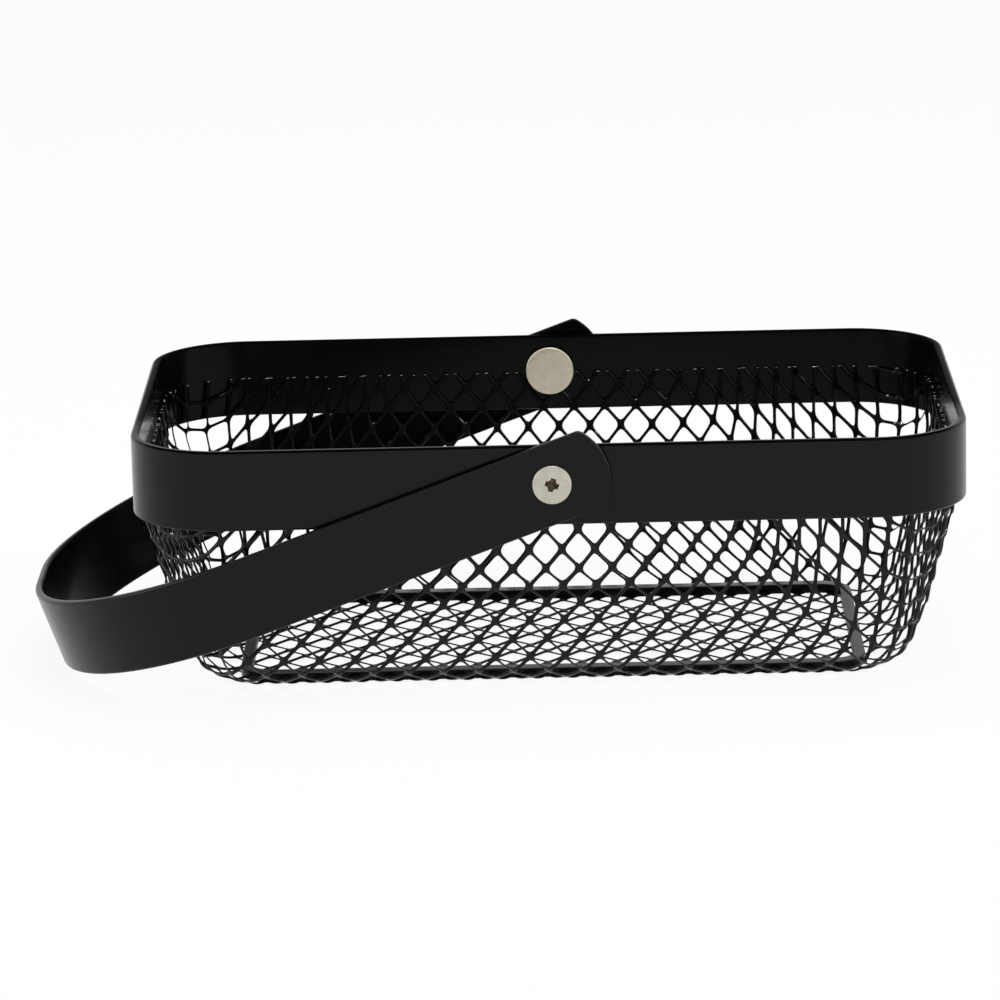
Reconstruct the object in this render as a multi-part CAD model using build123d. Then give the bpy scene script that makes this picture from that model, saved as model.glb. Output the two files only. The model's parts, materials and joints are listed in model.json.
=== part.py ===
from build123d import *
import math
import os

# Carrying basket: a pressed tub of expanded metal, welded into a flat-bar rim band,
# with a flat-bar base ring on its floor and a swing handle on two pivots.
# Millimetres, +Z up. The origin is the middle of the footprint on the table,
# +X runs along the long sides, and -Y points to the side that faces the viewer.

# Flat bar that the rim band and the handle are bent from
bar_width = 30.0
bar_thickness = 3.0

# Rim band
rim_length = 310.0
rim_depth = 191.0
rim_corner_radius = 36.0
rim_top_height = 98.5

# Handle, lying on the table to the left. Its pivots stand a little right of the rim's middle.
pivot_below_rim_top = 13.7
pivot_offset = 1.0
handle_reach = 206.0
handle_end_straight = 22.2
handle_nose_radius = 22.0
handle_nose_fillet = 3.0
handle_table_gap = 0.25

# Washers between the rim band and the handle's arms
washer_thickness = 0.5
washer_radius = 7.0
washer_play = 0.1

# Sleeve nuts, which pass through band, washer and handle from the inside
sleeve_radius = 4.0
sleeve_end_play = 0.1
hole_clearance = 0.05
sheet_hole_clearance = 0.8
seat_gap = 0.02
nut_head_radius = 9.75
nut_head_thickness = 1.8
nut_head_chamfer = 0.5
bore_end_wall = 0.9

# Screws, which close the sleeve nuts from the outside
screw_head_radius = 7.2
screw_head_thickness = 1.6
screw_head_chamfer = 0.3
shank_radius = 2.5
shank_length = 5.5
thread_clearance = 0.05
recess_span = 4.6
recess_slot_width = 1.7
recess_depth = 1.1
recess_turn_degrees = 17.0

# Tub of expanded metal: its trimmed edge ends inside the rim band
sheet_thickness = 1.6
tub_edge_below_rim_top = 14.5
weld_gap = 0.15
floor_inset = 32.8
floor_corner_radius = 12.0
corner_facets = 3
# From the floor's edge to the trimmed edge: shares of the tub's height and of floor_inset
wall_height_shares = [0, 0.06, 0.268, 0.786, 1]
wall_inset_shares = [1, 0.65, 0.366, 0, 0]

# Gaps of the expanded metal, as they are in the flat sheet before it is pressed
cell_width = 22.0
cell_length = 31.0
strand_width = 2.0
cutter_reach = 4.0
least_gap_side = 0.4

# Base ring, lying on the tub's floor
ring_bar_width = 4.5
ring_bar_height = 3.0
ring_corner_radius = 13.0
ring_end_gap = 0.8
ring_side_gap = 2.8

# Places that follow from the sizes
pivot_height = rim_top_height - pivot_below_rim_top
tub_height = rim_top_height - tub_edge_below_rim_top
tub_top_half_length = rim_length / 2 - bar_thickness - weld_gap
tub_top_half_depth = rim_depth / 2 - bar_thickness - weld_gap
tub_top_radius = rim_corner_radius - bar_thickness - weld_gap
arm_inner_face = rim_depth / 2 + washer_thickness + washer_play
arm_outer_face = arm_inner_face + bar_thickness
handle_corner_radius = arm_outer_face - handle_end_straight / 2
sleeve_end = arm_outer_face + sleeve_end_play


def rest_tilt():
    """Angle below the horizontal at which the handle's end lies on the table."""
    diagonal = math.hypot(handle_reach, bar_width / 2)
    corner_angle = math.atan2(bar_width / 2, handle_reach)
    return math.asin((pivot_height - handle_table_gap) / diagonal) - corner_angle


def disc(radius, near_y, far_y):
    """Round bar along Y through the pivot axis, from one distance from the middle to another."""
    at_pivot = Plane(origin=(pivot_offset, near_y, pivot_height), x_dir=(1, 0, 0), z_dir=(0, 1, 0))
    return extrude(at_pivot * Circle(radius), amount=far_y - near_y)


def on_the_other_side(piece):
    """The same piece on the far long side."""
    return piece.rotate(Axis((pivot_offset, 0, pivot_height), (0, 0, 1)), 180)


def make_rim_band():
    inner_length = rim_length - 2 * bar_thickness
    inner_depth = rim_depth - 2 * bar_thickness
    outer = RectangleRounded(rim_length, rim_depth, rim_corner_radius)
    inner = RectangleRounded(inner_length, inner_depth, rim_corner_radius - bar_thickness)
    low_edge = Plane.XY.offset(rim_top_height - bar_width)
    band = extrude(low_edge * (outer - inner), amount=bar_width)
    return band - disc(sleeve_radius + hole_clearance, -rim_depth, rim_depth)


def handle_outline(inset):
    """Plan of the handle's U, from its end to past the pivots, drawn in by an inset."""
    half_width = arm_outer_face - inset
    end = pivot_offset - handle_reach + inset
    radius = handle_corner_radius - inset
    start = pivot_offset + handle_nose_radius
    points = [(start, -half_width), (end, -half_width), (end, half_width), (start, half_width)]
    plan = make_face(Polyline(*points, close=True))
    return fillet(plan.vertices().group_by(Axis.X)[0], radius)


def make_handle():
    """The handle bent to its U, with round noses, then laid down to the left."""
    low_edge = Plane.XY.offset(pivot_height - bar_width / 2)
    plan = handle_outline(0) - handle_outline(bar_thickness)
    bar = extrude(low_edge * plan, amount=bar_width)
    side = Plane(origin=(pivot_offset, -rim_depth, pivot_height), x_dir=(1, 0, 0), z_dir=(0, 1, 0))
    nose_start = math.sqrt(handle_nose_radius**2 - (bar_width / 2) ** 2)
    arm_side = Pos(-handle_reach / 2) * Rectangle(handle_reach + 2 * nose_start, bar_width)
    nose = Circle(handle_nose_radius) & Rectangle(2 * handle_nose_radius, bar_width)
    side_view = arm_side + nose
    corners = side_view.vertices().group_by(Axis.X)[-1]
    side_view = fillet(corners, handle_nose_fillet)
    bar &= extrude(side * side_view, amount=2 * rim_depth)
    bar -= disc(sleeve_radius + hole_clearance, -rim_depth, rim_depth)
    swing_axis = Axis((pivot_offset, 0, pivot_height), (0, 1, 0))
    return bar.rotate(swing_axis, -math.degrees(rest_tilt()))


def make_washer():
    ring = disc(washer_radius, -rim_depth / 2 - washer_thickness, -rim_depth / 2)
    return ring - disc(sleeve_radius + hole_clearance, -rim_depth, 0)


def make_sleeve_nut():
    """Disc head against the inside of the tub's sheet, and a sleeve out to the screw."""
    low_edge_inset = inner_inset_at(pivot_height - nut_head_radius)
    head_back = -tub_top_half_depth + low_edge_inset + seat_gap
    head_front = head_back + nut_head_thickness
    head = disc(nut_head_radius, head_back, head_front)
    head = chamfer(head.faces().sort_by(Axis.Y)[-1].edges(), nut_head_chamfer)
    nut = head + disc(sleeve_radius, -sleeve_end, head_back)
    return nut - disc(shank_radius + thread_clearance, -sleeve_end, head_front - bore_end_wall)


def make_screw():
    """Flat head on the sleeve's end, with a cross recess, and a shank in the sleeve."""
    head_front = -sleeve_end - screw_head_thickness
    head = disc(screw_head_radius, head_front, -sleeve_end)
    head = chamfer(head.faces().sort_by(Axis.Y)[0].edges(), screw_head_chamfer)
    face = Plane(origin=(pivot_offset, head_front, pivot_height), x_dir=(1, 0, 0), z_dir=(0, 1, 0))
    slot = Rectangle(recess_span, recess_slot_width)
    cross = Rot(0, 0, recess_turn_degrees) * (slot + Rot(0, 0, 90) * slot)
    shank = disc(shank_radius, -sleeve_end, -sleeve_end + shank_length)
    return head + shank - extrude(face * cross, amount=recess_depth)


def make_base_ring():
    floor_half_length, floor_half_depth = inner_floor_half_sizes()
    length = 2 * (floor_half_length - ring_end_gap)
    depth = 2 * (floor_half_depth - ring_side_gap)
    outer = RectangleRounded(length, depth, ring_corner_radius)
    inner_radius = ring_corner_radius - ring_bar_width
    inner = RectangleRounded(length - 2 * ring_bar_width, depth - 2 * ring_bar_width, inner_radius)
    return extrude(Plane.XY.offset(sheet_thickness) * (outer - inner), amount=ring_bar_height)


# The tub. A level is an inset from the trimmed edge's outline, a height, and a corner radius.


def corner_radius_at(inset):
    return tub_top_radius + (floor_corner_radius - tub_top_radius) * inset / floor_inset


def outer_levels():
    insets = [floor_inset * share for share in wall_inset_shares]
    heights = [tub_height * share for share in wall_height_shares]
    return [(inset, height, corner_radius_at(inset)) for inset, height in zip(insets, heights)]


def inner_levels():
    """The outer levels moved in by the sheet's thickness, square to the wall."""
    outer = outer_levels()
    lines = []
    for (inset, height, _), (next_inset, next_height, _) in zip(outer, outer[1:]):
        run, rise = next_inset - inset, next_height - height
        slope = math.hypot(run, rise)
        along = (run / slope, rise / slope)
        lines.append(((inset + sheet_thickness * along[1], height - sheet_thickness * along[0]), along))
    level_line = (1, 0)
    floor_line = ((0, sheet_thickness), level_line)
    top_line = ((0, tub_height), level_line)
    crossings = [crossing(a, b) for a, b in zip([floor_line] + lines, lines + [top_line])]
    return [
        (inset, height, radius - inset + outer_inset)
        for (inset, height), (outer_inset, _, radius) in zip(crossings, outer)
    ]


def crossing(first, second):
    """Where two lines meet, each given as a point and a direction."""
    (x1, y1), (dx1, dy1) = first
    (x2, y2), (dx2, dy2) = second
    along = ((x2 - x1) * dy2 - (y2 - y1) * dx2) / (dx1 * dy2 - dy1 * dx2)
    return (x1 + dx1 * along, y1 + dy1 * along)


def inner_inset_at(height):
    """How far the sheet's inner face lies inside the trimmed edge's outline, near that edge."""
    (low_inset, low_height, _), (top_inset, top_height, _) = inner_levels()[-2:]
    return top_inset + (low_inset - top_inset) * (top_height - height) / (top_height - low_height)


def inner_floor_half_sizes():
    inset = inner_levels()[0][0]
    return tub_top_half_length - inset, tub_top_half_depth - inset


def level_outline(level):
    """Corner points of a level's outline, each corner cut into equal facets."""
    inset, height, radius = level
    centre_x = tub_top_half_length - inset - radius
    centre_y = tub_top_half_depth - inset - radius
    points = []
    for corner, (side_x, side_y) in enumerate([(1, 1), (-1, 1), (-1, -1), (1, -1)]):
        for facet in range(corner_facets + 1):
            angle = math.pi / 2 * (corner + facet / corner_facets)
            x = side_x * centre_x + radius * math.cos(angle)
            y = side_y * centre_y + radius * math.sin(angle)
            points.append((x, y, height))
    return points


def flat_face(points):
    return Face(Wire.make_polygon([Vector(*point) for point in points], close=True))


def faceted_block(levels):
    """Solid block whose wall is a flat facet between each pair of neighbouring points."""
    outlines = [level_outline(level) for level in levels]
    faces = [flat_face(outlines[0]), flat_face(outlines[-1])]
    for low, high in zip(outlines, outlines[1:]):
        for near in range(len(low)):
            far = (near + 1) % len(low)
            faces.append(flat_face([low[near], low[far], high[far], high[near]]))
    return Solid(Shell(faces))


def wall_level(distance):
    """Level at a distance up the bend and wall from the floor's edge, measured along the sheet."""
    levels = outer_levels()
    for low, high in zip(levels, levels[1:]):
        step = math.hypot(high[0] - low[0], high[1] - low[1])
        if distance <= step or high is levels[-1]:
            share = distance / step
            inset = low[0] + (high[0] - low[0]) * share
            height = low[1] + (high[1] - low[1]) * share
            return inset, height, corner_radius_at(inset)
        distance -= step


def wall_run():
    """Length of the bend and wall, measured along the sheet."""
    levels = outer_levels()
    return sum(math.hypot(b[0] - a[0], b[1] - a[1]) for a, b in zip(levels, levels[1:]))


def pressed(u, v):
    """Where a point of the flat sheet ends up on the tub, and its distance past the floor's edge.

    The straight sides fold up and stretch a little. In the corners the sheet is drawn in,
    so its cells close up towards the rim.
    """
    centre_x = tub_top_half_length - floor_inset - floor_corner_radius
    centre_y = tub_top_half_depth - floor_inset - floor_corner_radius
    past_x, past_y = abs(u) - centre_x, abs(v) - centre_y
    if past_x > 0 and past_y > 0:
        past = math.hypot(past_x, past_y) - floor_corner_radius
    else:
        past = max(past_x, past_y) - floor_corner_radius
    if past <= 0:
        return Vector(u, v, 0), past
    inset, height, radius = wall_level(past)
    level_x = tub_top_half_length - inset - radius
    level_y = tub_top_half_depth - inset - radius
    if past_x > 0 and past_y > 0:
        angle = math.atan2(past_y, past_x)
        x, y = level_x + radius * math.cos(angle), level_y + radius * math.sin(angle)
    elif past_x > 0:
        x, y = level_x + radius, level_y * abs(v) / centre_y
    else:
        x, y = level_x * abs(u) / centre_x, level_y + radius
    return Vector(math.copysign(x, u), math.copysign(y, v), height), past


def gap_cutter(corners):
    """Prism through the sheet for one gap, half a strand inside its cell, or None if none is left."""
    middle = sum(corners, Vector(0, 0, 0)) / len(corners)
    normal = (corners[2] - corners[0]).cross(corners[3] - corners[1]).normalized()
    flat = [corner - normal * (corner - middle).dot(normal) for corner in corners]
    ends = flat[1:] + flat[:1]
    along = [(end - start).normalized() for start, end in zip(flat, ends)]
    starts = [start + normal.cross(way) * strand_width / 2 for start, way in zip(flat, along)]
    gap = []
    for here in range(len(flat)):
        across = normal.cross(along[here])
        reach = (starts[here] - starts[here - 1]).dot(across) / along[here - 1].dot(across)
        gap.append(starts[here - 1] + along[here - 1] * reach)
    sides = [(end - start).dot(way) for start, end, way in zip(gap, gap[1:] + gap[:1], along)]
    if min(sides) < least_gap_side:
        return None
    face = Face(Wire.make_polygon([corner - normal * cutter_reach for corner in gap], close=True))
    return Solid.extrude(face, normal * 2 * cutter_reach)


def gap_cutters():
    """One cutter for each cell of the staggered lattice that the tub's sheet holds."""
    run = wall_run()
    columns = math.ceil((tub_top_half_length - floor_inset + run) / cell_width) + 1
    rows = math.ceil((tub_top_half_depth - floor_inset + run) / (cell_length / 2)) + 1
    half_width, half_length = cell_width / 2, cell_length / 2
    cutters = []
    for row in range(-rows, rows + 1):
        for column in range(-columns, columns + 1):
            u = (2 * column + 1 + row % 2) * half_width
            v = row * half_length
            around = [(u + half_width, v), (u, v + half_length), (u - half_width, v), (u, v - half_length)]
            placed = [pressed(*point) for point in around]
            if min(past for _, past in placed) < run:
                cutters.append(gap_cutter([point for point, _ in placed]))
    return [cutter for cutter in cutters if cutter]


def make_mesh_tub():
    """Faceted tub of sheet metal with its diamond gaps cut through, and a hole for each sleeve."""
    sheet = faceted_block(outer_levels()) - faceted_block(inner_levels())
    sleeve_hole = disc(sleeve_radius + sheet_hole_clearance, -rim_depth, rim_depth)
    tub = sheet.cut(*gap_cutters(), sleeve_hole)
    return max(tub.solids(), key=lambda solid: solid.volume)


screw = make_screw()
sleeve_nut = make_sleeve_nut()
washer = make_washer()

pieces = {
    "rim_band": make_rim_band(),
    "mesh_tub": make_mesh_tub(),
    "base_ring": make_base_ring(),
    "handle": make_handle(),
    "front_washer": washer,
    "rear_washer": on_the_other_side(washer),
    "front_sleeve_nut": sleeve_nut,
    "rear_sleeve_nut": on_the_other_side(sleeve_nut),
    "front_screw": screw,
    "rear_screw": on_the_other_side(screw),
}

os.makedirs("parts", exist_ok=True)
for node, piece in pieces.items():
    export_step(piece, f"parts/{node}.step")
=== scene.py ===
import json
import math

import bmesh
import bpy
from mathutils import Matrix, Vector, noise


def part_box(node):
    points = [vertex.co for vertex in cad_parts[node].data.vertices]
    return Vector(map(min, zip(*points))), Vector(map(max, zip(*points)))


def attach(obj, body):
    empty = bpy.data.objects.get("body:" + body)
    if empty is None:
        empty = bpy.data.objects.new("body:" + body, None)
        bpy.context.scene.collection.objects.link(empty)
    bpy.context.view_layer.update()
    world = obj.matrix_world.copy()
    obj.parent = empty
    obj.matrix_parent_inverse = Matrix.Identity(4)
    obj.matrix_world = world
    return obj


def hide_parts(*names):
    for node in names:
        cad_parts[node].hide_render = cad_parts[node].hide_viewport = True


# A low basket of pressed expanded metal in a flat-bar rim band, with a base ring and a swing
# handle. Metres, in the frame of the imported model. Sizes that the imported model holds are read
# from it; the others are named below.

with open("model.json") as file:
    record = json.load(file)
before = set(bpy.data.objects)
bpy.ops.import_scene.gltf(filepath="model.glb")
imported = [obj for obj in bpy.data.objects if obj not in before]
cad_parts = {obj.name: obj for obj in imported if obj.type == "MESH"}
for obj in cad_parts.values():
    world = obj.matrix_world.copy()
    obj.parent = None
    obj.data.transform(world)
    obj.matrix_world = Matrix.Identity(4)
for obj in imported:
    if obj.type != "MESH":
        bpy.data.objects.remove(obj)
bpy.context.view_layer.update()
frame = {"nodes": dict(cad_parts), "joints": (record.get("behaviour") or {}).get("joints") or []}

# Rim band
rim_low, rim_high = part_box("rim_band")
rim_half_length, rim_half_depth = rim_high.x, rim_high.y
rim_top, rim_bottom = rim_high.z, rim_low.z
bar_width = rim_top - rim_bottom
bar_thickness = 0.003
rim_corner_radius = 0.036
bar_edge_radius = 0.001
bar_edge_steps = 4
bar_straight_step = 0.012
bar_arc_steps = 24
rim_rows = 6

# Pivot axis and handle
pivot = Vector(frame["joints"][0]["pos_m"])
arm_half_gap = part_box("handle")[1].y
handle_reach = 0.206
handle_end_straight = 0.0222
handle_nose_radius = 0.022
handle_nose_fillet = 0.003
handle_table_gap = 0.00025
handle_corner_radius = arm_half_gap - handle_end_straight / 2
handle_arm_steps, handle_arc_steps = 14, 40
drill_sides = 48
nose_shares = [1, 0.93, 0.8, 0.6, 0.35]
row_shares = [0, 0.2, 0.4, 0.6, 0.75, 0.86, 0.926, 0.955, 0.98, 0.995, 1]

# Tub: profile of its bend and wall as (inset from the trimmed edge's outline, height)
tub_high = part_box("mesh_tub")[1]
tub_profile = [
    (0.0328, 0.0), (0.0256, 0.0024), (0.0179, 0.008), (0.0141, 0.0165), (0.0106, 0.026),
    (0.0063, 0.042), (0.0026, 0.056), (0.0003, 0.066), (0.0, 0.084),
]
floor_inset = tub_profile[0][0]
floor_corner_radius = 0.012
tub_top_radius = 0.03285
tub_top_half_length, tub_top_half_depth = tub_high.x, tub_high.y

# Expanded metal, as it is in the flat sheet
cell_width = 0.0132
cell_length = 0.01655
first_node = (0.0045, 0.00075)
bond_half_width = 0.00135
bond_side_length = 0.0018
bond_tip = 0.00142
strand_thickness = 0.00072
strand_lift = 0.0008
floor_strand_lift = 0.0003
floor_look, wall_look = -0.97, -0.5
sheet_clearance = 0.0002
strand_steps = 3
cell_wander = 0.00022
wander_seed = 1
wander_scale, wander_slice = 55, 3.7
sleeve_hole_radius = 0.0052

# The long walls are drawn in towards their middle by a share of the way up the sheet
squeeze_share = 0.045
squeeze_reach = 0.045
squeeze_fade = 0.03
corner_lean = 0.935

# The near wall's upper rows were pulled down a little left of this stretch of the flat sheet
sag = 0.003
sag_start, sag_full = 0.040, 0.063
sag_right = (0.018, 0.038)
sag_left = (-0.060, -0.100)

# Base ring
ring_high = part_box("base_ring")[1]
ring_bar_width = 0.0058
ring_side_width = 0.0045
ring_outset = 0.003
ring_corner_radius = 0.013
ring_edge_radius = 0.0006
ring_weld_height = 0.0004
ring_sink = 0.0004
ring_seam, ring_seam_depth = -0.0151, 0.0012
ring_rows = 2

# Screws and sleeve nuts, and the holes that the sleeves pass
screw_low, screw_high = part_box("front_screw")
nut_low, nut_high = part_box("front_sleeve_nut")
screw_head_radius = 0.0072
shank_radius = 0.0025
recess_half_span = 0.00245
recess_half_slot = 0.00095
recess_core = 0.0018
recess_depth = 0.0011
recess_turn = math.radians(-17)
recess_taper = 0.00035
recess_corner_share = 0.6
recess_between_arms = [-45, -38, -31, -26]
nut_head_radius = 0.00952
nut_head_thickness = 0.0018
sleeve_radius = 0.004
sleeve_bore_radius = 0.00255
sleeve_bore_end = 0.0009
hole_radius = 0.0041

# Their softened edges: an inset at the head's back, and at its face pairs of (inset, depth). The
# recess's lip is given as (reach past the recess, depth, number of its material).
head_back_edge = 0.0001
screw_edge = [(0, 0.0003), (0.00008, 0.00012), (0.00028, 0)]
nut_edge = [(0, 0.0004), (0.0001, 0.00016), (0.00036, 0)]
recess_lip = [(0.00022, 0, 0), (0.00008, 0.00004, 0), (0, 0.00018, 1)]
screw_face_ring = 0.0034
nut_face_rings = (0.006, 0.002)

# Seam where the band's ends are welded: its distance right of the pivots at top and bottom
seam_top, seam_bottom = 0.003, 0.010
seam_width = 0.00018
seam_depth = 0.00012
seam_overrun_share = 0.1


def new_mesh(name, points, faces):
    mesh = bpy.data.meshes.new(name)
    mesh.from_pydata([tuple(point) for point in points], [], faces)
    mesh.validate()
    mesh.update()
    return mesh


def new_object(name, data):
    item = bpy.data.objects.new(name, data)
    bpy.context.scene.collection.objects.link(item)
    return item


def place_piece(name, mesh, material, body, node):
    """Smooth piece that rides on a body and stands for a node."""
    piece = new_object(name, mesh)
    mesh.materials.clear()
    mesh.materials.append(material)
    mesh.shade_smooth()
    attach(piece, body)
    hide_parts(node)
    return piece


def shaped_mesh(item, name):
    """Mesh of a scratch object with its modifiers applied; the object is removed."""
    graph = bpy.context.evaluated_depsgraph_get()
    mesh = bpy.data.meshes.new_from_object(item.evaluated_get(graph))
    mesh.name = name
    bpy.data.objects.remove(item)
    return mesh


def shade_evenly(piece):
    """Flat faces stay flat beside the rounded edges."""
    even = piece.modifiers.new("even shading", "WEIGHTED_NORMAL")
    even.weight = 90


# Bars: a strip given by its columns of points, each bar with rounded edges


def bar_solid(columns_at, outward, thickness, edge_radius, closed):
    """Points and faces of a bar with rounded edges.

    columns_at gives the columns of its outer face for an inset of its outline, and outward
    the direction in which that face looks at each column. The columns run counter-clockwise
    seen from above."""
    layers = []
    for step in range(bar_edge_steps + 1):
        angle = math.pi / 2 * step / bar_edge_steps
        layers.append((edge_radius * (1 - math.cos(angle)), edge_radius * (1 - math.sin(angle))))
    layers += [(thickness - depth, inset) for depth, inset in reversed(layers)]
    points, faces, placed = [], [], []
    for number, (depth, inset) in enumerate(layers):
        columns = columns_at(inset)
        total, top = len(columns), len(columns[0]) - 1
        if closed:
            loops = [[(column, 0) for column in range(total)]]
            loops.append([(column, top) for column in reversed(range(total))])
        else:
            loop = [(column, 0) for column in range(total)]
            loop += [(total - 1, row) for row in range(1, top + 1)]
            loop += [(column, top) for column in range(total - 2, -1, -1)]
            loop += [(0, row) for row in range(top - 1, 0, -1)]
            loops = [loop]
        wanted = sum(loops, [])
        if number in (0, len(layers) - 1):
            wanted = [(column, row) for column in range(total) for row in range(top + 1)]
        index = {}
        for column, row in wanted:
            index[column, row] = len(points)
            points.append(columns[column][row] - outward[column] * depth)
        placed.append(index)
    for index, flip in ((placed[0], False), (placed[-1], True)):
        for near in range(total if closed else total - 1):
            far = (near + 1) % total
            for row in range(top):
                face = [index[near, row], index[far, row], index[far, row + 1], index[near, row + 1]]
                faces.append(face[::-1] if flip else face)
    for outer, inner in zip(placed, placed[1:]):
        for loop in loops:
            for here, there in zip(loop, loop[1:] + loop[:1]):
                faces.append([outer[here], inner[here], inner[there], outer[there]])
    return points, faces


def rounded_outline(half_x, half_y, radius, straight_step, arc_steps):
    """Points around a rounded rectangle with the outward direction at each, counter-clockwise."""
    outline = []
    corners = [(1, 1, 0), (-1, 1, 1), (-1, -1, 2), (1, -1, 3)]
    for side_x, side_y, quarter in corners:
        centre = Vector((side_x * (half_x - radius), side_y * (half_y - radius), 0))
        for step in range(arc_steps + 1):
            angle = math.pi / 2 * (quarter + step / arc_steps)
            direction = Vector((math.cos(angle), math.sin(angle), 0))
            outline.append((centre + direction * radius, direction))
    full = []
    for (point, direction), (following, _) in zip(outline, outline[1:] + outline[:1]):
        full.append((point, direction))
        gap = (following - point).length
        extra = int(gap / straight_step) - 1
        for step in range(extra):
            full.append((point.lerp(following, (step + 1) / (extra + 1)), direction))
    return full


def make_ring_bar(half_x, half_y, radius, low, high, thickness, edge_radius, rows, side_share=1):
    """Closed bar around a rounded rectangle, as points and faces.

    side_share is how thick it is at its short sides, as a share of its thickness."""
    outline = rounded_outline(half_x, half_y, radius, bar_straight_step, bar_arc_steps)

    def columns_at(inset):
        bottom, rise = low + inset, (high - low - 2 * inset) / rows
        heights = [bottom + rise * row for row in range(rows + 1)]
        return [[point + Vector((0, 0, height)) for height in heights] for point, _ in outline]

    outward = [Vector((direction.x * side_share, direction.y, 0)) for _, direction in outline]
    return bar_solid(columns_at, outward, thickness, edge_radius, True)


def pivot_drill():
    """Round bar along the pivots' axis, twice as long as the handle is wide."""
    points, faces, sides = [], [], drill_sides
    for reach in (-2 * arm_half_gap, 2 * arm_half_gap):
        for step in range(sides):
            angle = 2 * math.pi * step / sides
            x, z = hole_radius * math.cos(angle), hole_radius * math.sin(angle)
            points.append(pivot + Vector((x, reach, z)))
    for step in range(sides):
        following = (step + 1) % sides
        faces.append([step, following, sides + following, sides + step])
    faces += [list(reversed(range(sides))), list(range(sides, 2 * sides))]
    return points, faces


box_faces = [[0, 1, 3, 2], [4, 6, 7, 5], [0, 4, 5, 1], [2, 3, 7, 6], [0, 2, 6, 4], [1, 5, 7, 3]]


def ring_seam_blade():
    """Thin blade that marks where the base ring's ends meet, in its far side."""
    places_x = (ring_seam - seam_width, ring_seam + seam_width)
    places_y = (ring_high.y - 2 * ring_bar_width, ring_high.y + ring_outset - ring_edge_radius)
    places_z = (ring_high.z - ring_sink - ring_seam_depth, ring_high.z)
    return [Vector((x, y, z)) for x in places_x for y in places_y for z in places_z], box_faces


def seam_blade():
    """Thin slanted blade that cuts the seam into the far side of the band, from inside."""
    inner_face = rim_half_depth - bar_thickness
    points = []
    for y in (inner_face - bar_thickness, inner_face + seam_depth):
        for place, z, way in ((seam_bottom, rim_bottom, -1), (seam_top, rim_top, 1)):
            along = place + (seam_top - seam_bottom) * seam_overrun_share * way
            height = z + bar_width * seam_overrun_share * way
            for side in (-1, 1):
                points.append(Vector((pivot.x + along + side * seam_width / 2, y, height)))
    return points, box_faces


def cut_mesh(name, points, faces, cutters):
    """Mesh of the bar with the shapes of the cutters taken away."""
    bar = new_object(name, new_mesh(name, points, faces))
    blades = [new_object("cutter", new_mesh("cutter", *cutter)) for cutter in cutters]
    for blade in blades:
        cut = bar.modifiers.new("cut", "BOOLEAN")
        cut.operation = "DIFFERENCE"
        cut.solver = "EXACT"
        cut.object = blade
    shaped = shaped_mesh(bar, name)
    for blade in blades:
        bpy.data.objects.remove(blade)
    return shaped


def make_rim_band(coat):
    sizes = (rim_half_length, rim_half_depth, rim_corner_radius, rim_bottom, rim_top)
    points, faces = make_ring_bar(*sizes, bar_thickness, bar_edge_radius, rim_rows)
    shaped = cut_mesh("rim_strip", points, faces, [pivot_drill(), seam_blade()])
    band = place_piece("rim_strip", shaped, coat, "basket", "rim_band")
    shade_evenly(band)


def make_base_ring(coat):
    half_depth = ring_high.y + ring_outset
    sizes = (ring_high.x, half_depth, ring_corner_radius, ring_weld_height, ring_high.z - ring_sink)
    side_share = ring_side_width / ring_bar_width
    points, faces = make_ring_bar(*sizes, ring_bar_width, ring_edge_radius, ring_rows, side_share)
    shaped = cut_mesh("floor_ring", points, faces, [ring_seam_blade()])
    ring = place_piece("floor_ring", shaped, coat, "basket", "base_ring")
    shade_evenly(ring)


def nose_end(across, inset):
    """How far the handle's nose reaches past the pivot at a distance from the arm's middle."""
    fillet, nose = handle_nose_fillet - inset, handle_nose_radius - inset
    fillet_middle = bar_width / 2 - handle_nose_fillet
    centre = math.sqrt((nose - fillet) ** 2 - fillet_middle**2)
    meets = fillet_middle * nose / (nose - fillet)
    across = abs(across)
    if across <= meets:
        return math.sqrt(nose**2 - across**2)
    return centre + math.sqrt(max(fillet**2 - (across - fillet_middle) ** 2, 0))


def handle_path():
    """Stations along the flat handle from nose to nose: place, outward direction."""
    path = []
    straight = handle_reach - handle_corner_radius
    for step in range(handle_arm_steps):
        place = Vector((-straight * step / handle_arm_steps, -arm_half_gap, 0))
        path.append((place, Vector((0, -1, 0))))
    centre = Vector((-straight, -arm_half_gap + handle_corner_radius, 0))
    for step in range(handle_arc_steps + 1):
        angle = -math.pi / 2 * (1 + step / handle_arc_steps)
        direction = Vector((math.cos(angle), math.sin(angle), 0))
        path.append((centre + direction * handle_corner_radius, direction))
    mirrored = [
        (Vector((place.x, -place.y, 0)), Vector((direction.x, -direction.y, 0)))
        for place, direction in reversed(path)
    ]
    return path + mirrored


def row_places(inset):
    """Places across the bar's width, closer together beside its edges."""
    upper = [(bar_width / 2 - inset) * share for share in row_shares]
    return [-place for place in reversed(upper[1:])] + upper


def handle_columns(inset):
    """Columns of the handle's outer face, from the far arm's nose to the near arm's."""
    rows = row_places(inset)
    columns = []
    for share in nose_shares:
        columns.append([Vector((nose_end(row, inset) * share, arm_half_gap, row)) for row in rows])
    for place, _ in reversed(handle_path()):
        columns.append([place + Vector((0, 0, row)) for row in rows])
    for share in reversed(nose_shares):
        columns.append([Vector((nose_end(row, inset) * share, -arm_half_gap, row)) for row in rows])
    return columns


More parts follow.
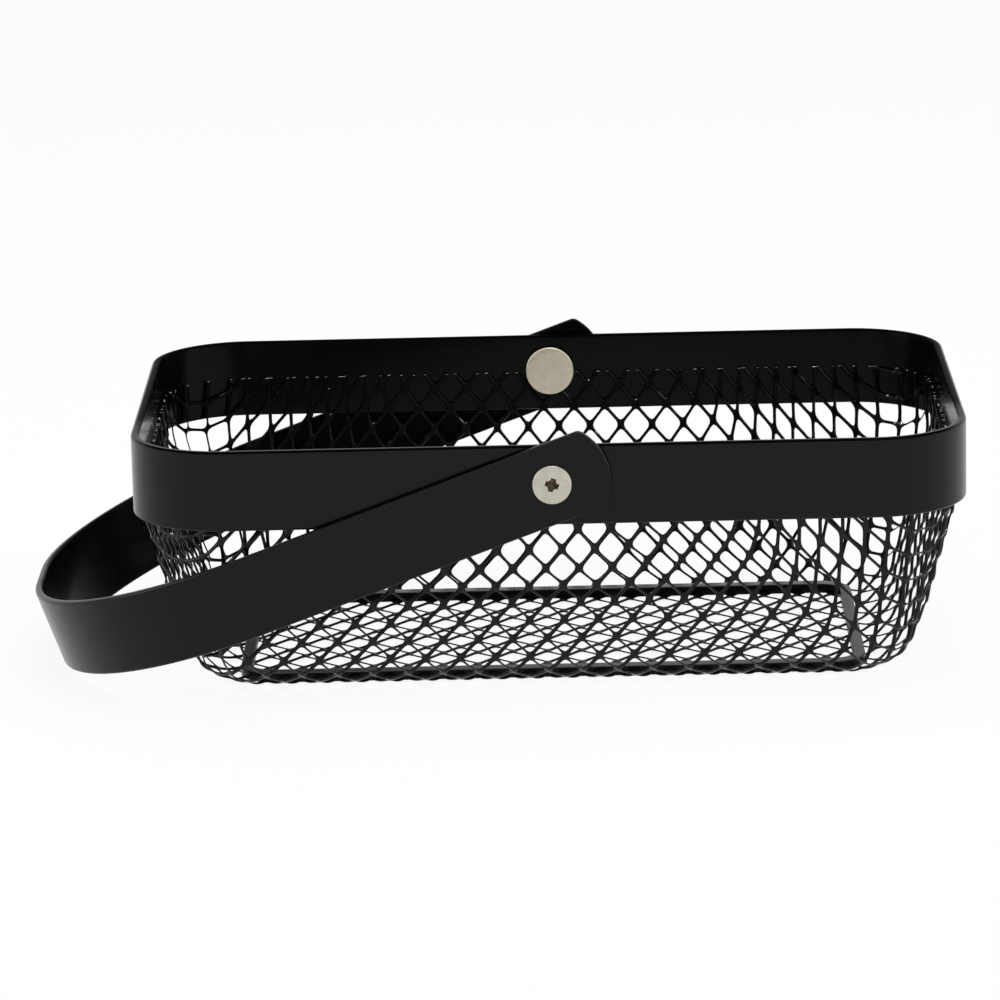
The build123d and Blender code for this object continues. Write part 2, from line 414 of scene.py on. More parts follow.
def make_handle(coat):
    """The U bent from one bar, with round noses, laid down to the left around the pivot."""
    outward = [Vector((0, 1, 0))] * len(nose_shares)
    outward += [direction for _, direction in reversed(handle_path())]
    outward += [Vector((0, -1, 0))] * len(nose_shares)
    points, faces = bar_solid(handle_columns, outward, bar_thickness, bar_edge_radius, False)
    diagonal = math.hypot(handle_reach, bar_width / 2)
    tilt = math.asin((pivot.z - handle_table_gap) / diagonal) - math.atan2(bar_width / 2, handle_reach)
    laid_down = Matrix.Translation(pivot) @ Matrix.Rotation(-tilt, 4, "Y")
    points = [laid_down @ point for point in points]
    shaped = cut_mesh("swing_handle", points, faces, [pivot_drill()])
    handle = place_piece("swing_handle", shaped, coat, "handle", "handle")
    shade_evenly(handle)


# Screws and sleeve nuts: rings of points around the pivots' axis, front ones as built


def turning_angles():
    """Angles around the axis, closer together where the cross recess has its corners."""
    corner = math.degrees(math.atan2(recess_half_slot, recess_half_span))
    quarter = [*recess_between_arms, -corner, -corner * recess_corner_share, 0]
    quarter += [-angle for angle in reversed(quarter[1:-1])]
    return [recess_turn + math.radians(90 * arm + angle) for arm in range(4) for angle in quarter]


def recess_reach(angle):
    """How far the cross recess reaches from the axis at an angle."""
    near = (angle - recess_turn + math.pi / 4) % (math.pi / 2) - math.pi / 4
    sine = abs(math.sin(near))
    side = recess_half_slot / sine if sine else math.inf
    return max(recess_core, min(recess_half_span / math.cos(near), side))


def turned_piece(name, rings, materials, node, behind):
    """Piece made of rings around the pivots' axis, each a radius, a depth and a material's number.

    The material is that of the faces between the ring and the one before. The radius is a number,
    or a function of the angle."""
    angles = turning_angles()
    points, faces, finishes = [], [], []
    side = -1 if behind else 1
    for radius, y, _ in rings:
        for angle in angles:
            reach = radius(angle) if callable(radius) else radius
            x, z = reach * math.cos(angle), reach * math.sin(angle)
            points.append(Vector((pivot.x + x * side, y * side, pivot.z + z)))
    count = len(angles)
    for index, (_, _, finish) in enumerate(rings[1:]):
        start = index * count
        for step in range(count):
            near, far = start + step, start + (step + 1) % count
            faces.append([near, far, count + far, count + near])
            finishes.append(finish)
    last = (len(rings) - 1) * count
    faces += [list(reversed(range(count))), list(range(last, last + count))]
    finishes += [rings[0][2], rings[-1][2]]
    mesh = new_mesh(name, points, faces)
    piece = place_piece(name, mesh, materials[0], "basket", node)
    for material in materials[1:]:
        mesh.materials.append(material)
    for face, finish in zip(mesh.polygons, finishes):
        face.material_index = finish
    shade_evenly(piece)


def make_screw(name, node, materials, behind):
    """Flat head with a soft edge and a dark cross recess, and its shank."""
    front, back, tip = screw_low.y, nut_low.y, screw_high.y
    rings = [
        (shank_radius, tip, 0),
        (shank_radius, back, 0),
        (screw_head_radius - head_back_edge, back, 0),
        (screw_head_radius, back - head_back_edge, 0),
    ]
    rings += [(screw_head_radius - inset, front + depth, 0) for inset, depth in screw_edge]
    rings.append((screw_face_ring, front, 0))
    for past, depth, finish in recess_lip:
        rings.append((lambda angle, past=past: recess_reach(angle) + past, front + depth, finish))
    rings.append((lambda angle: recess_reach(angle) - recess_taper, front + recess_depth, 1))
    turned_piece(name, rings, materials, node, behind)


def make_sleeve_nut(name, node, materials, behind):
    """Flat disc head against the sheet's inside, and the sleeve that the handle turns on."""
    end, face = nut_low.y, nut_high.y
    back = face - nut_head_thickness
    rings = [
        (sleeve_bore_radius, face - sleeve_bore_end, 0),
        (sleeve_bore_radius, end, 0),
        (sleeve_radius, end, 0),
        (sleeve_radius, back, 0),
        (nut_head_radius - head_back_edge, back, 0),
        (nut_head_radius, back + head_back_edge, 0),
    ]
    rings += [(nut_head_radius - inset, face - depth, 0) for inset, depth in nut_edge]
    rings += [(radius, face, 0) for radius in nut_face_rings]
    turned_piece(name, rings, materials, node, behind)


# Tub of expanded metal


def profile_lengths():
    """Distance up the sheet of each of the profile's points."""
    lengths = [0.0]
    for (inset, height), (next_inset, next_height) in zip(tub_profile, tub_profile[1:]):
        lengths.append(lengths[-1] + math.hypot(next_inset - inset, next_height - height))
    return lengths


wall_lengths = profile_lengths()
wall_run = wall_lengths[-1]


def profile_slopes():
    """Direction of the profile at each of its points: flat at the floor, upright at the top."""
    slopes = [(-1.0, 0.0)]
    for before, after in zip(tub_profile, tub_profile[2:]):
        run, rise = after[0] - before[0], after[1] - before[1]
        length = math.hypot(run, rise)
        slopes.append((run / length, rise / length))
    return slopes + [(0.0, 1.0)]


wall_slopes = profile_slopes()


def on_profile(distance):
    """Inset, height and direction at a distance up the sheet from the floor's edge."""
    if distance >= wall_run:
        return 0.0, tub_profile[-1][1] + distance - wall_run, (0.0, 1.0)
    part = max(index for index, length in enumerate(wall_lengths) if length <= distance)
    step = wall_lengths[part + 1] - wall_lengths[part]
    share = (distance - wall_lengths[part]) / step
    start, end = tub_profile[part], tub_profile[part + 1]
    start_slope, end_slope = wall_slopes[part], wall_slopes[part + 1]
    square, cube = share**2, share**3
    values = []
    slopes = []
    for axis in (0, 1):
        values.append(
            (2 * cube - 3 * square + 1) * start[axis]
            + (cube - 2 * square + share) * step * start_slope[axis]
            + (3 * square - 2 * cube) * end[axis]
            + (cube - square) * step * end_slope[axis]
        )
        slopes.append(
            (6 * square - 6 * share) * start[axis] / step
            + (3 * square - 4 * share + 1) * start_slope[axis]
            + (6 * share - 6 * square) * end[axis] / step
            + (3 * square - 2 * share) * end_slope[axis]
        )
    length = math.hypot(*slopes)
    return values[0], values[1], (slopes[0] / length, slopes[1] / length)


floor_centre_x = tub_top_half_length - floor_inset - floor_corner_radius
floor_centre_y = tub_top_half_depth - floor_inset - floor_corner_radius


def sheet_distance(u, v):
    """Distance of a flat place past the floor's edge, measured along the sheet."""
    past_x, past_y = abs(u) - floor_centre_x, abs(v) - floor_centre_y
    if past_x > 0 and past_y > 0:
        return math.hypot(past_x, past_y) - floor_corner_radius
    return max(past_x, past_y) - floor_corner_radius


def pressed(u, v):
    """Where a place of the unfolded tub lies, and which way its outer face looks there."""
    past = sheet_distance(u, v)
    if past <= 0:
        return Vector((u, v, 0)), Vector((0, 0, -1))
    past_x, past_y = abs(u) - floor_centre_x, abs(v) - floor_centre_y
    inset, height, slope = on_profile(past)
    radius = tub_top_radius + (floor_corner_radius - tub_top_radius) * inset / floor_inset
    level_x = tub_top_half_length - inset - radius
    level_y = tub_top_half_depth - inset - radius
    if past_x > 0 and past_y > 0:
        outward = Vector((past_x, past_y, 0)).normalized()
        x, y = level_x + radius * outward.x, level_y + radius * outward.y
    elif past_x > past_y:
        outward = Vector((1, 0, 0))
        x, y = level_x + radius, level_y * abs(v) / floor_centre_y
    else:
        outward = Vector((0, 1, 0))
        x, y = level_x * abs(u) / floor_centre_x, level_y + radius
    side = Vector((math.copysign(1, u), math.copysign(1, v), 0))
    looks = Vector((outward.x * side.x * slope[1], outward.y * side.y * slope[1], slope[0]))
    return Vector((x * side.x, y * side.y, height)), looks


# The strands of the pressed sheet keep their length and turn at the bonds. So each bond past the
# floor's edge lies one strand away from two bonds nearer the floor.


def flat_node(i, j):
    """Place of a bond in the flat sheet, by its half cells along and across."""
    return first_node[0] + i * cell_width / 2, first_node[1] + j * cell_length / 2


strand_length = math.hypot(cell_width, cell_length) / 2


def settled(guess, first, second):
    """Place of the unfolded tub that lies one strand away from two bonds."""
    u, v = guess
    ends = [pressed(*first)[0], pressed(*second)[0]]
    step, longest_move, least_spread, tries = 0.0003, 0.003, 0.02, 12
    for _ in range(tries):
        here = pressed(u, v)[0]
        slope_u = (pressed(u + step, v)[0] - here) / step
        slope_v = (pressed(u, v + step)[0] - here) / step
        ways = [(here - end).normalized() for end in ends]
        misses = [(here - end).length - strand_length for end in ends]
        a, b = ways[0].dot(slope_u), ways[0].dot(slope_v)
        c, d = ways[1].dot(slope_u), ways[1].dot(slope_v)
        spread = a * d - b * c
        if abs(spread) < least_spread:
            return guess
        move_u = (b * misses[1] - d * misses[0]) / spread
        move_v = (c * misses[0] - a * misses[1]) / spread
        reach = max(math.hypot(move_u, move_v) / longest_move, 1)
        u, v = u + move_u / reach, v + move_v / reach
    return u, v


def corner_line(side_x, side_y):
    """Bonds of the strand line that climbs a corner: its first bond past the floor, and on."""
    best = None
    turn = math.atan2(cell_width, cell_length)
    lines_aside, halvings = 40, 30
    for cross in range(-lines_aside, lines_aside + 1):
        i, j = side_x * (cross % 2 - cross), side_y * (cross % 2 + cross)
        u, v = flat_node(i, j)
        past_x, past_y = side_x * u - floor_centre_x, side_y * v - floor_centre_y
        aside = past_x * math.cos(turn) - past_y * math.sin(turn)
        if abs(aside) < floor_corner_radius:
            angle = turn + math.asin(aside / floor_corner_radius)
            if best is None or abs(angle - math.pi / 4) < abs(best[0] - math.pi / 4):
                best = (angle, i, j)
    angle, i, j = best
    while sheet_distance(*flat_node(i, j)) > 0:
        i, j = i - side_x, j - side_y
    while sheet_distance(*flat_node(i + side_x, j + side_y)) <= 0:
        i, j = i + side_x, j + side_y
    line = {}
    before = pressed(*flat_node(i, j))[0]
    reach = floor_corner_radius
    while reach < wall_run + 2 * cell_length:
        angle *= corner_lean
        low, high = reach, reach + 3 * strand_length
        for _ in range(halvings):
            reach = (low + high) / 2
            u = side_x * (floor_centre_x + reach * math.sin(angle))
            v = side_y * (floor_centre_y + reach * math.cos(angle))
            if (pressed(u, v)[0] - before).length > strand_length:
                high = reach
            else:
                low = reach
        before = pressed(u, v)[0]
        i, j = i + side_x, j + side_y
        line[i, j] = (u, v)
    return line


def drape():
    """Flat places of all bonds of the pressed sheet."""
    spare = 3
    past_centre = floor_corner_radius + wall_run
    columns = math.ceil((floor_centre_x + past_centre) / (cell_width / 2)) + spare
    rows = math.ceil((floor_centre_y + past_centre) / (cell_length / 2)) + spare
    places = {}
    for i in range(-columns, columns + 1):
        for j in range(-rows, rows + 1):
            if (i + j) % 2 == 0 and sheet_distance(*flat_node(i, j)) <= 0:
                places[i, j] = flat_node(i, j)
    sides = [(side_x, side_y) for side_x in (1, -1) for side_y in (1, -1)]
    lines = {side: corner_line(*side) for side in sides}
    for line in lines.values():
        places.update(line)
    for side in (1, -1):
        right, left = lines[1, side], lines[-1, side]
        for row in range(rows):
            j = side * row
            first = min([i for i, line_j in left if line_j == j], default=-columns)
            last = max([i for i, line_j in right if line_j == j], default=columns)
            ahead = (0, side * cell_length / 2)
            for i in range(first, last + 1):
                settle_bond(places, (i, j), (i - 1, j - side), (i + 1, j - side), ahead)
        upper, lower = lines[side, 1], lines[side, -1]
        for column in range(columns):
            i = side * column
            first = min([j for line_i, j in lower if line_i == i], default=-rows)
            last = max([j for line_i, j in upper if line_i == i], default=rows)
            ahead = (side * cell_width / 2, 0)
            for j in range(first, last + 1):
                settle_bond(places, (i, j), (i - side, j - 1), (i - side, j + 1), ahead)
    return places


def settle_bond(places, bond, first, second, ahead):
    """Places a bond one strand away from two others, if they are there and it isn't."""
    if bond in places or first not in places or second not in places:
        return
    (first_u, first_v), (second_u, second_v) = places[first], places[second]
    guess = ((first_u + second_u) / 2 + ahead[0], (first_v + second_v) / 2 + ahead[1])
    place = settled(guess, places[first], places[second])
    if sheet_distance(*place) < wall_run + cell_length:
        places[bond] = place


def eased(value, start, end):
    """0 at the start and before it, 1 at the end and past it, and smooth between."""
    share = min(max((value - start) / (end - start), 0), 1)
    return share * share * (3 - 2 * share)


def drawn_in(u, v):
    """The flat place moved as the real sheet was drawn in, and given a little wander."""
    past = max(sheet_distance(u, v), 0)
    fade = eased(floor_centre_x + floor_corner_radius - abs(u), 0, squeeze_fade)
    if v < -floor_centre_y:
        beside = max(eased(u, *sag_right), eased(u, *sag_left))
        v += sag * eased(past, sag_start, sag_full) * (1 - beside)
    if abs(v) > floor_centre_y:
        u -= squeeze_share * past * math.tanh(u / squeeze_reach) * fade
    wander = noise.noise_vector(Vector((u * wander_scale, v * wander_scale, wander_slice)))
    return u + wander.x * cell_wander, v + wander.y * cell_wander


def strand_tilt(looks):
    """Half the rise across a bond: small on the flat floor, larger on the walls."""
    more = (strand_lift - floor_strand_lift) * eased(looks.z, floor_look, wall_look)
    return floor_strand_lift + more


def bond_points(places, i, j):
    """The six corners of a bond: tip up, left up, left low, tip low, right low, right up."""
    place, looks = pressed(*places[i, j])
    along, across = Vector(), Vector()
    for way_i, way_j in ((1, 1), (-1, 1), (1, -1), (-1, -1)):
        other = places.get((i + way_i, j + way_j))
        if other:
            way = (pressed(*other)[0] - place).normalized()
            along += way * way_j
            across += way * way_i
    along = (along - looks * along.dot(looks)).normalized()
    square = looks.cross(along)
    if square.dot(across) < 0:
        square = -square
    half_side = bond_side_length / 2
    lift = looks * strand_tilt(looks)
    corners = [
        place + along * bond_tip,
        place - square * bond_half_width + along * half_side - lift,
        place - square * bond_half_width - along * half_side - lift,
        place - along * bond_tip,
        place + square * bond_half_width - along * half_side + lift,
        place + square * bond_half_width + along * half_side + lift,
    ]
    return corners, looks, place


def make_mesh_tub(coat, cut_ends):
    """Bonds and strands of the staggered sheet, pressed to the tub and cut off at its top."""
    noise.seed_set(wander_seed)
    places = {bond: drawn_in(*place) for bond, place in drape().items()}
    points, normals, faces, bonds = [], [], [], {}
    for i, j in places:
        corners, looks, place = bond_points(places, i, j)
        start = len(points)
        bonds[i, j] = (start, places[i, j], place)
        points += corners
        normals += [looks] * len(corners)
        faces.append([start, start + 1, start + 2, start + 3])
        faces.append([start + 3, start + 4, start + 5, start])
    for (i, j), (start, flat, place) in bonds.items():
        for side in (1, -1):
            other = bonds.get((i + side, j + 1))
            if other is None:
                continue
            if side == 1:
                near, far = (start + 5, start), (other[0] + 3, other[0] + 2)
            else:
                near, far = (start, start + 1), (other[0] + 4, other[0] + 3)
            add_strand(points, normals, faces, near, far, (flat, place), other[1:])
    points, faces = thickened(points, normals, faces)
    trimmed_sheet([cleared(point) for point in points], faces, coat, cut_ends)


def cleared(point):
    """The point moved away from a sleeve's hole if it lies in it."""
    away = Vector((point.x - pivot.x, 0, point.z - pivot.z))
    if abs(point.x - pivot.x) > sleeve_hole_radius or away.length > sleeve_hole_radius:
        return point
    return Vector((pivot.x, point.y, pivot.z)) + away.normalized() * sleeve_hole_radius


def add_strand(points, normals, faces, near, far, start, end):
    """Strand from one bond to another, in a few steps that follow the sheet's bend."""
    before = near
    (start_u, start_v), start_place = start
    (end_u, end_v), end_place = end
    for step in range(1, strand_steps + 1):
        share = step / strand_steps
        if step == strand_steps:
            after = far
        else:
            flat_u = start_u + (end_u - start_u) * share
            flat_v = start_v + (end_v - start_v) * share
            middle, looks = pressed(flat_u, flat_v)
            bulge = looks * looks.dot(middle - start_place.lerp(end_place, share))
            after = (len(points), len(points) + 1)
            for here, there in zip(near, far):
                points.append(points[here].lerp(points[there], share) + bulge)
                normals.append(looks)
        faces.append([before[0], after[0], after[1], before[1]])
        before = after


def thickened(points, normals, faces):
    """Sheet with its thickness: the faces given look outward, and gaps get their walls."""
    count = len(points)
    edges = dict.fromkeys(edge for face in faces for edge in zip(face, face[1:] + face[:1]))
    walls = [(here, there) for here, there in edges if (there, here) not in edges]
    sheet = []
    for side in (1, -1):
        for point, normal in zip(points, normals):
            middle = strand_thickness / 2 + sheet_clearance + strand_tilt(normal)
            sheet.append(point + side * normal * strand_thickness / 2 - normal * middle)
    back = [[corner + count for corner in reversed(face)] for face in faces]
    sides = [[there, here, here + count, there + count] for here, there in walls]
    return sheet, faces + back + sides


def trimmed_sheet(points, faces, coat, cut_ends):
    """The sheet rounded by subdivision, then cut off level at the tub's top."""
    rough = new_object("sheet", new_mesh("sheet", points, faces))
    rounding = rough.modifiers.new("rounded strands", "SUBSURF")
    rounding.levels = rounding.render_levels = 1
    shaped = shaped_mesh(rough, "expanded_sheet")
    edit = bmesh.new()
    edit.from_mesh(shaped)
    cut = bmesh.ops.bisect_plane(
        edit,
        geom=edit.verts[:] + edit.edges[:] + edit.faces[:],
        plane_co=(0, 0, tub_high.z),
        plane_no=(0, 0, 1),
        clear_outer=True,
    )
    rim_edges = [item for item in cut["geom_cut"] if isinstance(item, bmesh.types.BMEdge)]
    for face in bmesh.ops.holes_fill(edit, edges=rim_edges, sides=0)["faces"]:
        face.material_index = 1
    loose = [vert for vert in edit.verts if not vert.link_faces]
    bmesh.ops.delete(edit, geom=loose, context="VERTS")
    bmesh.ops.recalc_face_normals(edit, faces=edit.faces[:])
    edit.to_mesh(shaped)
    edit.free()
    trimmed = [face.index for face in shaped.polygons if face.material_index == 1]
    place_piece("expanded_sheet", shaped, coat, "basket", "mesh_tub")
    shaped.materials.append(cut_ends)
    for index in trimmed:
        shaped.polygons[index].material_index = 1


# Materials


class Shading:
    """The nodes of one material or world, and short calls that add to them."""

    def __init__(self, owner):
        owner.use_nodes = True
        self.nodes, self.links = owner.node_tree.nodes, owner.node_tree.links

    def feed(self, node, inputs):
        """Links the inputs that come from another node, and sets the others."""
        for name, value in inputs.items():
            if isinstance(value, bpy.types.NodeSocket):
                self.links.new(value, node.inputs[name])
            else:
                node.inputs[name].default_value = value

    def add(self, kind, inputs, output=0, **settings):
        """Output of a new node with these inputs and settings."""
        node = self.nodes.new(kind)
        for name, value in settings.items():
            setattr(node, name, value)
        self.feed(node, inputs)
        return node.outputs[output]

    def coordinates(self, kind="Object"):
        return self.add("ShaderNodeTexCoord", {}, kind)

    def part(self, vector, axis):
        """The X, Y or Z of a vector."""
        return self.add("ShaderNodeSeparateXYZ", {"Vector": vector}, axis)

    def math(self, operation, *values):
        return self.add("ShaderNodeMath", dict(enumerate(values)), operation=operation)

    def vector_math(self, operation, *values, output="Vector"):
        values = dict(enumerate(values))
        return self.add("ShaderNodeVectorMath", values, output, operation=operation)

    def noise(self, place, scale, detail=2.0, roughness=0.5):
        inputs = {"Vector": place, "Scale": scale, "Detail": detail, "Roughness": roughness}
        return self.add("ShaderNodeTexNoise", inputs, "Fac")

    def ramp(self, value, ends, results=(0, 1)):
        """One result up to the first end, the other from the second on, a straight rise between."""
        inputs = {"Value": value, "From Min": ends[0], "From Max": ends[1]}
        inputs.update({"To Min": results[0], "To Max": results[1]})
        return self.add("ShaderNodeMapRange", inputs, "Result")

    def blend(self, value, ends, tones):
        """One tone up to the first end, the other from the second on, a blend between."""
        node = self.nodes.new("ShaderNodeValToRGB")
        for element, end, tone in zip(node.color_ramp.elements, ends, tones):
            element.position = end
            element.color = (*tone, 1)
        self.feed(node, {"Fac": value})
        return node.outputs["Color"]

    def bump(self, height, strength, distance, before=None):
        inputs = {"Height": height, "Strength": strength, "Distance": distance}
        if before:
            inputs["Normal"] = before
        return self.add("ShaderNodeBump", inputs, "Normal")

    def finish(self, **inputs):
        """Feeds the material's shader, whose inputs are given with _ for a space."""
        shader = self.nodes["Principled BSDF"]
        self.feed(shader, {name.replace("_", " "): value for name, value in inputs.items()})


def painted_edge_light(share):
    """Painted light on upper edges, the same all round: their gloss is scaled by share, which below 1
    paints shade and above 1 paints a highlight.
    """

    def build(shading, outward):
        upward = shading.part(shading.coordinates("Normal"), "Z")
        return shading.ramp(upward, ends=(0.6, 0.95), results=(1, share))

    return build


def painted_rim_edge_light(shaded, lit):
    """Painted light on the rim's upper edge, through its gloss share: painted shade, with a painted
    highlight on its near side and where it turns out.
    """
    nearness, inner_lean, outer_lean = -2.5, 0.5, 1.2

    def build(shading, outward):
        normal = shading.coordinates("Normal")
        away, upward = shading.part(normal, "Y"), shading.part(normal, "Z")
        near = shading.math("MULTIPLY", shading.part(outward, "Y"), nearness)
        near_light = shading.math("MULTIPLY_ADD", away, inner_lean, near)
        direction = shading.vector_math("NORMALIZE", outward)
        turned = shading.vector_math("DOT_PRODUCT", direction, normal, output="Value")
        facing = shading.math("MINIMUM", away, 0)
        outer_light = shading.math("MULTIPLY_ADD", facing, outer_lean, turned)
        light = shading.math("MAXIMUM", near_light, outer_light)
        top = shading.ramp(light, ends=(0.1, 0.3), results=(shaded, lit))
        on_edge = shading.ramp(upward, ends=(0.03, 0.35))
        return shading.math("MULTIPLY_ADD", shading.math("SUBTRACT", top, 1), on_edge, 1)

    return build


def powder_coat(name, tones, roughness, grain, gloss, shaded_inner_gloss, edge=painted_edge_light(0.35)):
    """Satin black powder coat: fine grain, a soft orange peel and slightly uneven gloss.

    Faces that look towards the basket's middle have less gloss, as painted shade, and upper edges get
    painted shade and painted highlights through their gloss."""
    material = bpy.data.materials.new(name)
    shading = Shading(material)
    place = shading.coordinates()
    patches = shading.noise(place, scale=60.0, detail=3.0)
    fine = shading.noise(place, scale=4200.0, roughness=0.6)
    orange_peel = shading.noise(place, scale=900.0, detail=1.0)
    peel = shading.bump(orange_peel, strength=grain / 2, distance=0.00004)
    outward = shading.vector_math("MULTIPLY", place, (1, 1, 0))
    normal = shading.coordinates("Normal")
    looks = shading.vector_math("DOT_PRODUCT", outward, normal, output="Value")
    # Painted shade: faces that look towards the basket's middle get less gloss.
    gloss_with_inner_shade = shading.ramp(looks, ends=(-0.03, -0.005), results=(shaded_inner_gloss, gloss))
    shading.finish(
        Base_Color=shading.blend(patches, (0.3, 0.7), tones),
        Roughness=shading.ramp(patches, (0, 1), roughness),
        Normal=shading.bump(fine, strength=grain, distance=0.00002, before=peel),
        Specular_IOR_Level=shading.math("MULTIPLY", gloss_with_inner_shade, edge(shading, outward)),
    )
    return material


def add_painted_glints(material):
    """Painted glints: small pale metal spots on the up-facing sides of the wall's bonds and strands.
    """
    shading = Shading(material)
    place = shading.coordinates()
    looks = shading.add("ShaderNodeNewGeometry", {}, "Normal")
    glint_spots = shading.ramp(shading.noise(place, scale=210.0), ends=(0.62, 0.66))
    upward = shading.ramp(shading.part(looks, "Z"), ends=(0.55, 0.75))
    on_wall = shading.ramp(shading.part(place, "Z"), ends=(0.03, 0.045))
    share = shading.math("MULTIPLY", shading.math("MULTIPLY", glint_spots, upward), on_wall)
    coat = shading.nodes["Principled BSDF"].inputs["Base Color"].links[0].from_socket
    glint_tone = (0.6, 0.6, 0.6, 1)
    colour = shading.add("ShaderNodeMix", {0: share, 6: coat, 7: glint_tone}, 2, data_type="RGBA")
    shading.finish(Base_Color=colour, Metallic=share)


def satin_nickel(name, tones):
    """Satin nickel plate with faint turning marks around the pivots' axis."""
    material = bpy.data.materials.new(name)
    shading = Shading(material)
    place = shading.coordinates()
    parts = {axis: shading.part(place, axis) for axis in "XZ"}
    flat = shading.add("ShaderNodeCombineXYZ", parts)
    away = shading.vector_math("DISTANCE", flat, (pivot.x, 0, pivot.z), output="Value")
    inputs = {"W": away, "Scale": 5200.0, "Detail": 3.0}
    marks = shading.add("ShaderNodeTexNoise", inputs, "Fac", noise_dimensions="1D")
    cloud = shading.noise(place, scale=420.0, detail=3.0)
    speckle = shading.noise(place, scale=2600.0, roughness=0.7)
    turned = shading.bump(marks, strength=0.25, distance=0.00002)
    shading.finish(
        Base_Color=shading.blend(cloud, (0.3, 0.75), tones),
        Metallic=1.0,
        Roughness=shading.ramp(cloud, (0, 1), (0.26, 0.4)),
        Normal=shading.bump(speckle, strength=0.3, distance=0.00002, before=turned),
    )
    return material


def blotchy_surface(name, tones, ends, scale, roughness, relief=0.3, metallic=0.8):
    """Surface whose pale and dark spots lie side by side."""
    material = bpy.data.materials.new(name)
    shading = Shading(material)
    spots = shading.noise(shading.coordinates(), scale, detail=3.0)
    shading.finish(
        Base_Color=shading.blend(spots, ends, tones),
        Metallic=metallic,
        Roughness=shading.ramp(spots, (0, 1), roughness),
        Normal=shading.bump(spots, strength=relief, distance=0.00003),
    )
    return material


# Studio: floor, world, lamps and camera

white = (1, 1, 1, 1)
lamp_target = Vector((0, 0, 0.06))
camera_target = Vector((-0.0191, 0, 0.0546))
camera_distance = 2.0765
camera_elevation = math.radians(14.01)
camera_yaw = math.radians(0.59)
camera_roll = math.radians(-1.37)
camera_lens, camera_sensor = 194.8, 36.0


def seen_directly(shading):
    """1 where a camera, glossy or transmission ray looks, and 0 for the rest."""
    rays = shading.nodes.new("ShaderNodeLightPath").outputs
    share = rays["Is Camera Ray"]
    for kind in ("Is Glossy Ray", "Is Transmission Ray"):
        share = shading.math("MAXIMUM", share, rays[kind])
    return share


def make_floor():
    """Pale floor that looks white, but for a little of its soft shadows."""
    size, glow_share, pale = 8.0, 0.9, (0.9, 0.9, 0.9, 1)
    corners = [(-size, -size, 0), (size, -size, 0), (size, size, 0), (-size, size, 0)]
    floor = new_object("floor", new_mesh("floor", corners, [[0, 1, 2, 3]]))
    material = bpy.data.materials.new("pale_floor")
    shading = Shading(material)
    shading.nodes.clear()
    matt = shading.add("ShaderNodeBsdfDiffuse", {"Color": pale})
    glow = shading.add("ShaderNodeEmission", {"Color": white})
    share = shading.math("MULTIPLY", seen_directly(shading), glow_share)
    surface = shading.add("ShaderNodeMixShader", {0: share, 1: matt, 2: glow})
    shading.feed(shading.nodes.new("ShaderNodeOutputMaterial"), {"Surface": surface})
    floor.data.materials.append(material)


def make_world():
    """Soft light from all sides, and a white background."""
    world = bpy.data.worlds.new("studio")
    bpy.context.scene.world = world
    shading = Shading(world)
    shading.nodes.clear()
    soft = shading.add("ShaderNodeBackground", {"Color": white, "Strength": 0.5})
    bright = shading.add("ShaderNodeBackground", {"Color": white, "Strength": 1.0})
    inputs = {0: seen_directly(shading), 1: soft, 2: bright}
    surface = shading.add("ShaderNodeMixShader", inputs)
    shading.feed(shading.nodes.new("ShaderNodeOutputWorld"), {"Surface": surface})


def add_softbox(name, place, size, power):
    """Rectangular lamp that looks at the basket's middle."""
    lamp = bpy.data.lights.new(name, "AREA")
    lamp.shape = "RECTANGLE"
    lamp.size, lamp.size_y = size
    lamp.energy = power
    holder = new_object(name, lamp)
    holder.location = place
    aim = lamp_target - Vector(place)
    holder.rotation_euler = aim.to_track_quat("-Z", "Y").to_euler()


def add_camera():
    """The photo's camera: it looks down a little from the front and leans a little."""
    forward = Vector((0, math.cos(camera_elevation), -math.sin(camera_elevation)))
    right = Vector((1, 0, 0))
    up = right.cross(forward)
    turned_right = right * math.cos(camera_roll) + up * math.sin(camera_roll)
    turned_up = up * math.cos(camera_roll) - right * math.sin(camera_roll)
    place = camera_target - forward * camera_distance
    basis = Matrix((turned_right, turned_up, -forward)).transposed().to_4x4()
    camera = bpy.data.cameras.new("camera")
    camera.lens = camera_lens
    camera.sensor_width = camera_sensor
    camera.clip_start, camera.clip_end = 0.1, 30.0
    holder = new_object("camera", camera)
    holder.matrix_world = Matrix.Rotation(camera_yaw, 4, "Z") @ Matrix.Translation(place) @ basis
    bpy.context.scene.camera = holder


add_camera()
make_world()
make_floor()
add_softbox("overhead_softbox", place=(0.1, 0.1, 1.7), size=(1.6, 1.2), power=16)
add_softbox("left_softbox", place=(-1.5, -0.5, 0.7), size=(0.5, 1.3), power=7)
add_softbox("right_softbox", place=(1.5, -0.3, 0.7), size=(0.5, 1.3), power=6)

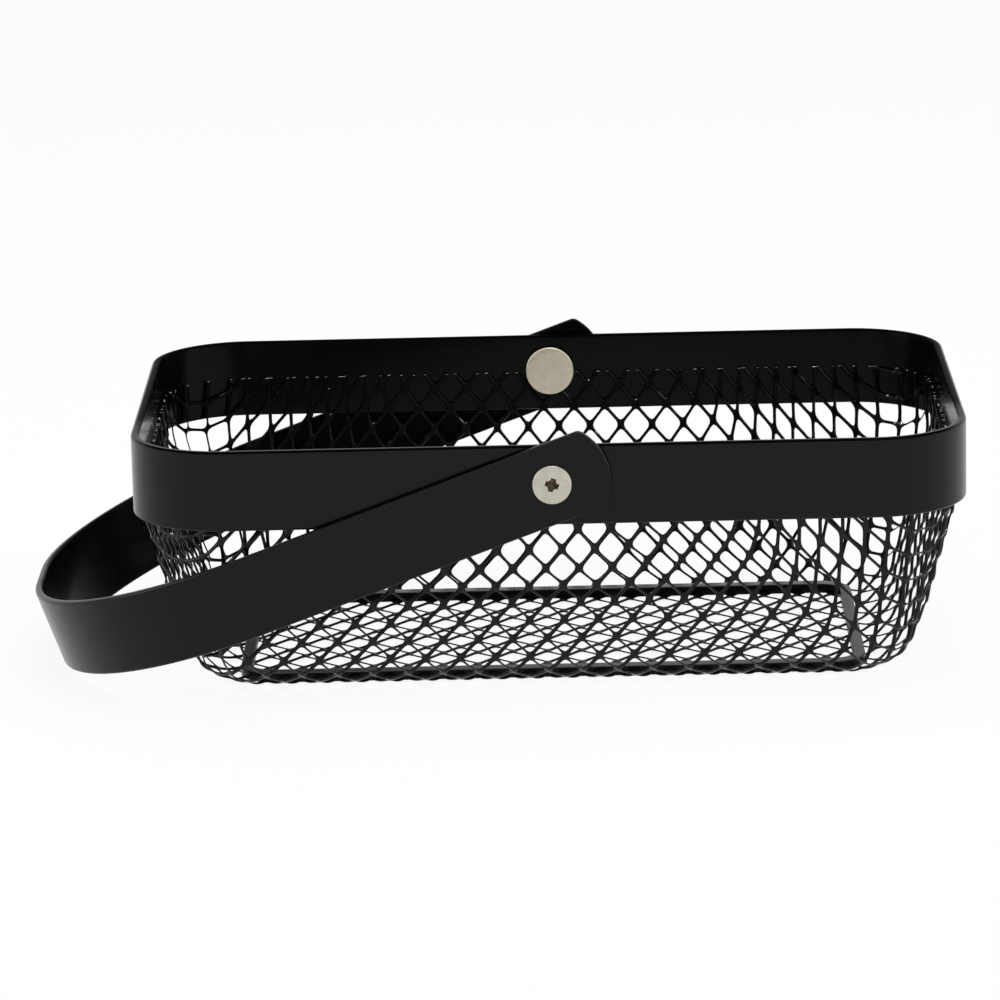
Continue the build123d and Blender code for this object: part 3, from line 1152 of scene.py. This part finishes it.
bar_tones = ((0.001, 0.001, 0.0011), (0.0017, 0.0017, 0.0018))
mesh_tones = ((0.0009, 0.0009, 0.001), (0.0015, 0.0015, 0.0016))
# Painted light in the coats' gloss: faces towards the basket's middle are dimmed as painted shade, and
# upper edges carry painted shade and painted highlights.
band_coat = powder_coat(
    "band_powder_coat", bar_tones, roughness=(0.19, 0.25), grain=0.16,
    gloss=0.19, shaded_inner_gloss=0.11, edge=painted_rim_edge_light(shaded=0.012, lit=0.5),
)
handle_coat = powder_coat(
    "handle_powder_coat", bar_tones, roughness=(0.19, 0.25), grain=0.16,
    gloss=0.19, shaded_inner_gloss=0.03,
)
ring_coat = powder_coat(
    "ring_powder_coat", bar_tones, roughness=(0.24, 0.32), grain=0.16,
    gloss=0.1, shaded_inner_gloss=0.05, edge=painted_edge_light(2.6),
)
mesh_coat = powder_coat(
    "mesh_powder_coat", mesh_tones, roughness=(0.2, 0.3), grain=0.2,
    gloss=0.2, shaded_inner_gloss=0.06,
)
# Painted glints on the mesh's bonds and strands.
add_painted_glints(mesh_coat)
screw_nickel = satin_nickel("screw_nickel", ((0.48, 0.45, 0.39), (0.58, 0.55, 0.47)))
nut_nickel = satin_nickel("nut_nickel", ((0.62, 0.57, 0.44), (0.73, 0.67, 0.53)))
dark_recess = blotchy_surface(
    "dark_recess", ((0.012, 0.008, 0.005), (0.1, 0.075, 0.05)), ends=(0.35, 0.65),
    scale=1100.0, roughness=(0.35, 0.6),
)
cut_ends = blotchy_surface(
    "bare_cut_ends", ((0.2, 0.2, 0.2), (0.97, 0.97, 0.95)), ends=(0.35, 0.65),
    scale=300.0, roughness=(0.22, 0.4),
)
nylon = blotchy_surface(
    "matt_nylon", ((0.012, 0.012, 0.012), (0.024, 0.024, 0.024)), ends=(0, 1),
    scale=900.0, roughness=(0.55, 0.7), relief=0.2, metallic=0,
)

make_rim_band(band_coat)
make_base_ring(ring_coat)
make_handle(handle_coat)
make_mesh_tub(mesh_coat, cut_ends)
make_screw("front_cross_screw", "front_screw", [screw_nickel, dark_recess], False)
make_screw("rear_cross_screw", "rear_screw", [screw_nickel, dark_recess], True)
make_sleeve_nut("front_disc_nut", "front_sleeve_nut", [nut_nickel], False)
make_sleeve_nut("rear_disc_nut", "rear_sleeve_nut", [nut_nickel], True)

for name in ("front_washer", "rear_washer"):
    washer = frame["nodes"][name]
    washer.data.materials.clear()
    washer.data.materials.append(nylon)

bpy.context.scene.view_settings.view_transform = "Standard"
